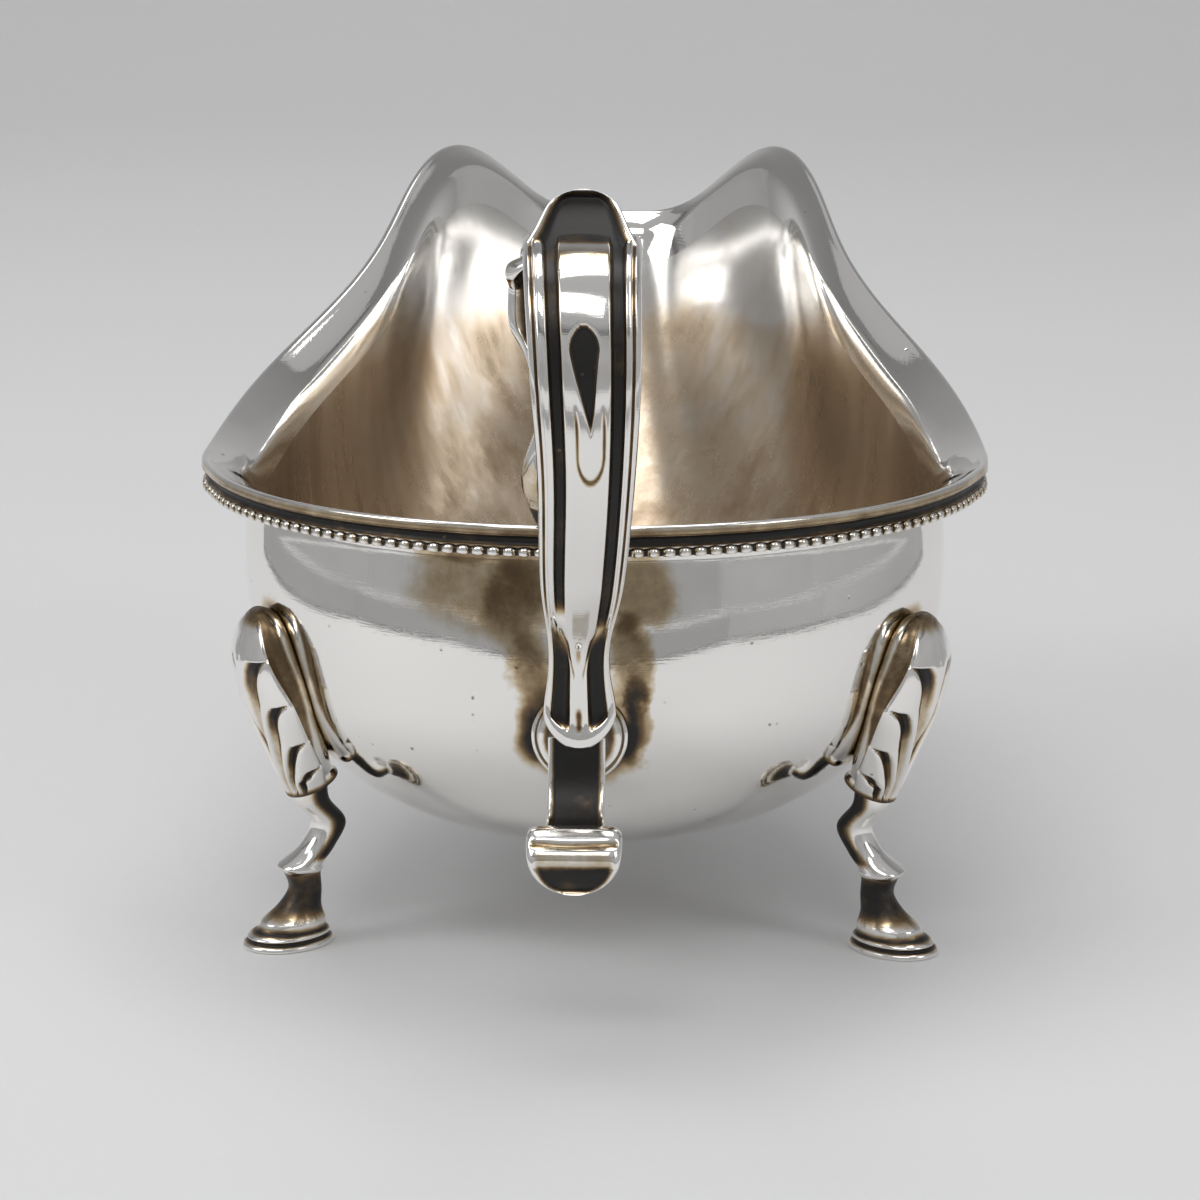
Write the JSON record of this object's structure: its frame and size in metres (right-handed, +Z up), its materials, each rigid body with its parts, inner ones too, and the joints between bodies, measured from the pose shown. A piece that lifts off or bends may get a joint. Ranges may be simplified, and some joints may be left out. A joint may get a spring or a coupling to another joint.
{
  "type": "sauce boat",
  "caption": "Small polished silver sauce boat with a wavy beaded rim, a double scroll handle and shell-and-hoof feet.",
  "frame": {"origin": "on the surface that the feet stand on, under the middle of the whole length and width", "axes": "+Y from the handle towards the pouring lip, +Z up, +X to the right seen from behind the handle"},
  "size_m": [0.0774, 0.1398, 0.079],
  "materials": {
    "bowl_silver": "polished silver, fine wear and pits, brown tarnish beside the handle",
    "cove_silver": "silver with dark brown tarnish in the hollow",
    "bead_silver": "polished silver, dark between the beads",
    "strap_silver": "polished silver, dark in the grooves",
    "scroll_silver": "silver, dark in the hollows",
    "leaf_silver": "darkened silver with a bright edge",
    "boss_silver": "polished silver with brown tarnish at the foot",
    "tail_silver": "darkened silver",
    "roll_silver": "polished silver with a dark hollow",
    "shell_silver": "polished silver, dark between the lobes",
    "leg_silver": "polished silver, dark in the hollows"
  },
  "bodies": {
    "root": {"bowl": "bowl_silver", "cove_moulding": "cove_silver", "bead_border": "bead_silver", "handle_strap": "strap_silver", "inner_scroll": "scroll_silver", "thumb_leaf": "leaf_silver", "handle_boss": "boss_silver", "handle_tail": "tail_silver", "tail_roll": "roll_silver", "rear_left_shell": "shell_silver", "rear_right_shell": "shell_silver", "front_shell": "shell_silver", "rear_left_leg": "leg_silver", "rear_right_leg": "leg_silver", "front_leg": "leg_silver"}
  },
  "joints": []
}
